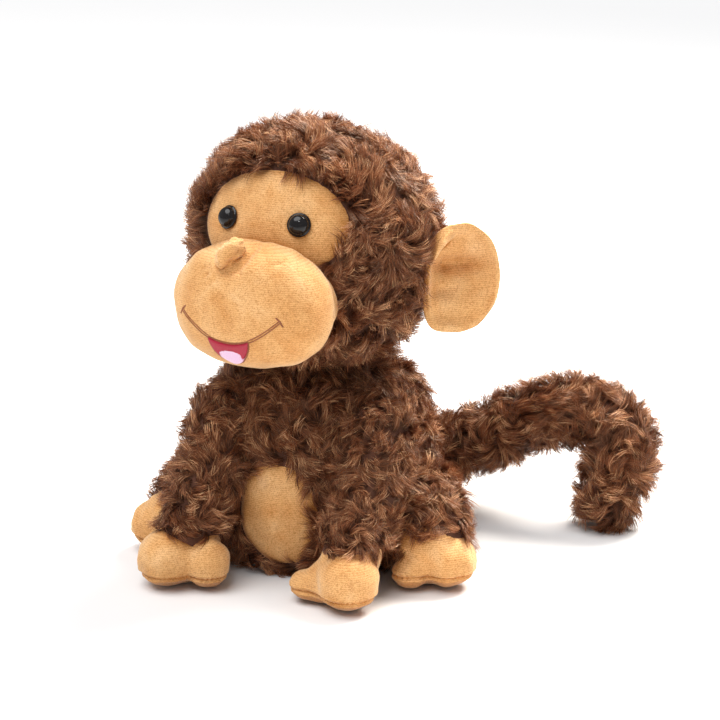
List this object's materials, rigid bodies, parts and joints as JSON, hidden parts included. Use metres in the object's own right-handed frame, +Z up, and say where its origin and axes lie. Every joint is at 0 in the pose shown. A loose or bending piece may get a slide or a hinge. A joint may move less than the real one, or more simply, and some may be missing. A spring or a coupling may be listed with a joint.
{
  "type": "stuffed monkey",
  "caption": "Seated plush monkey with curly brown fur, tan face, muzzle, ears, belly, hands and feet, plastic safety eyes and a bent stuffed tail.",
  "frame": {"origin": "on the floor under the middle of the body", "axes": "+Z up, -Y where the body faces, +X to the toy's own left"},
  "size_m": [0.2962, 0.2387, 0.2648],
  "materials": {
    "fur": "long curly plush, dark brown with copper tips",
    "tan_plush": "short-pile plush, tan",
    "stuffing": "loose polyester fibre",
    "bag_cloth": "plain woven cloth bag of plastic pellets",
    "eye_plastic": "polished, near black",
    "washer_plastic": "moulded white",
    "thread": "brown embroidery thread",
    "mouth_felt": "crimson satin stitch",
    "tongue_felt": "pale pink satin stitch"
  },
  "bodies": {
    "torso": {"torso_cover": "fur", "belly_patch": "tan_plush", "seat_panel": "fur", "pellet_bag": "bag_cloth", "torso_stuffing": "stuffing"},
    "neck": {"neck_stuffing": "stuffing"},
    "head": {"head_cover": "fur", "head_stuffing": "stuffing", "face_patch": "tan_plush", "muzzle_cover": "tan_plush", "muzzle_stuffing": "stuffing", "nose": "tan_plush", "smile_stitching_left": "thread", "smile_stitching_right": "thread", "mouth_patch": "mouth_felt", "tongue_patch": "tongue_felt", "left_eye": "eye_plastic", "right_eye": "eye_plastic", "left_eye_washer": "washer_plastic", "right_eye_washer": "washer_plastic"},
    "left_ear": {"left_ear_front": "tan_plush", "left_ear_back": "tan_plush"},
    "left_arm": {"left_arm_cover": "fur", "left_arm_stuffing": "stuffing", "left_hand_upper": "tan_plush", "left_hand_palm": "tan_plush", "left_hand_stuffing": "stuffing"},
    "left_leg": {"left_leg_cover": "fur", "left_leg_stuffing": "stuffing", "left_foot_upper": "tan_plush", "left_foot_sole": "tan_plush", "left_foot_stuffing": "stuffing"},
    "right_ear": {"right_ear_front": "tan_plush", "right_ear_back": "tan_plush"},
    "right_arm": {"right_arm_cover": "fur", "right_arm_stuffing": "stuffing", "right_hand_upper": "tan_plush", "right_hand_palm": "tan_plush", "right_hand_stuffing": "stuffing"},
    "right_leg": {"right_leg_cover": "fur", "right_leg_stuffing": "stuffing", "right_foot_upper": "tan_plush", "right_foot_sole": "tan_plush", "right_foot_stuffing": "stuffing"},
    "tail_base": {"tail_base_cover": "fur", "tail_base_stuffing": "stuffing"},
    "tail_middle": {"tail_middle_cover": "fur", "tail_middle_stuffing": "stuffing"},
    "tail_end": {"tail_end_cover": "fur", "tail_end_stuffing": "stuffing"}
  },
  "joints": [
    {"name": "head_turn", "type": "hinge", "parent": "torso", "child": "neck", "pos_m": [0.0005, -0.0095, 0.128], "axis": [0, 0, 1], "range_deg": [-36, 53], "stiffness_Nm_per_rad": 0.8},
    {"name": "head_nod", "type": "hinge", "parent": "neck", "child": "head", "pos_m": [0.0005, -0.0095, 0.128], "axis": [-0.989, 0.1478, 0], "range_deg": [-15, 12], "stiffness_Nm_per_rad": 0.8},
    {"name": "left_shoulder", "type": "hinge", "parent": "torso", "child": "left_arm", "pos_m": [0.056, -0.045, 0.092], "axis": [-1, 0, 0], "range_deg": [0, 60], "stiffness_Nm_per_rad": 0.2},
    {"name": "right_shoulder", "type": "hinge", "parent": "torso", "child": "right_arm", "pos_m": [-0.04, -0.047, 0.092], "axis": [-1, 0, 0], "range_deg": [0, 60], "stiffness_Nm_per_rad": 0.2},
    {"name": "left_hip", "type": "hinge", "parent": "torso", "child": "left_leg", "pos_m": [0.07, -0.02, 0.036], "axis": [-0.7139, -0.7002, 0], "range_deg": [0, 28], "stiffness_Nm_per_rad": 0.2},
    {"name": "right_hip", "type": "hinge", "parent": "torso", "child": "right_leg", "pos_m": [-0.0595, -0.02, 0.036], "axis": [-0.7139, 0.7002, 0], "range_deg": [0, 28], "stiffness_Nm_per_rad": 0.2},
    {"name": "tail_swing", "type": "hinge", "parent": "torso", "child": "tail_base", "pos_m": [0.004, 0.0745, 0.034], "axis": [0, 0, 1], "range_deg": [-18, 30], "stiffness_Nm_per_rad": 0.1},
    {"name": "tail_middle_bend", "type": "hinge", "parent": "tail_base", "child": "tail_middle", "pos_m": [0.07775, 0.09902, 0.04845], "axis": [0, -1, 0], "range_deg": [0, 20], "stiffness_Nm_per_rad": 0.06},
    {"name": "tail_end_bend", "type": "hinge", "parent": "tail_middle", "child": "tail_end", "pos_m": [0.1411, 0.09799, 0.072], "axis": [0, -1, 0], "range_deg": [-15, 25], "stiffness_Nm_per_rad": 0.04},
    {"name": "left_ear_fold", "type": "hinge", "parent": "head", "child": "left_ear", "pos_m": [0.07726, -0.01963, 0.17989], "axis": [-0.0121, -0.081, -0.9966], "range_deg": [-8, 25], "stiffness_Nm_per_rad": 0.02},
    {"name": "right_ear_fold", "type": "hinge", "parent": "head", "child": "right_ear", "pos_m": [-0.07406, 0.00298, 0.17989], "axis": [0.0121, 0.081, 0.9966], "range_deg": [-8, 25], "stiffness_Nm_per_rad": 0.02}
  ]
}
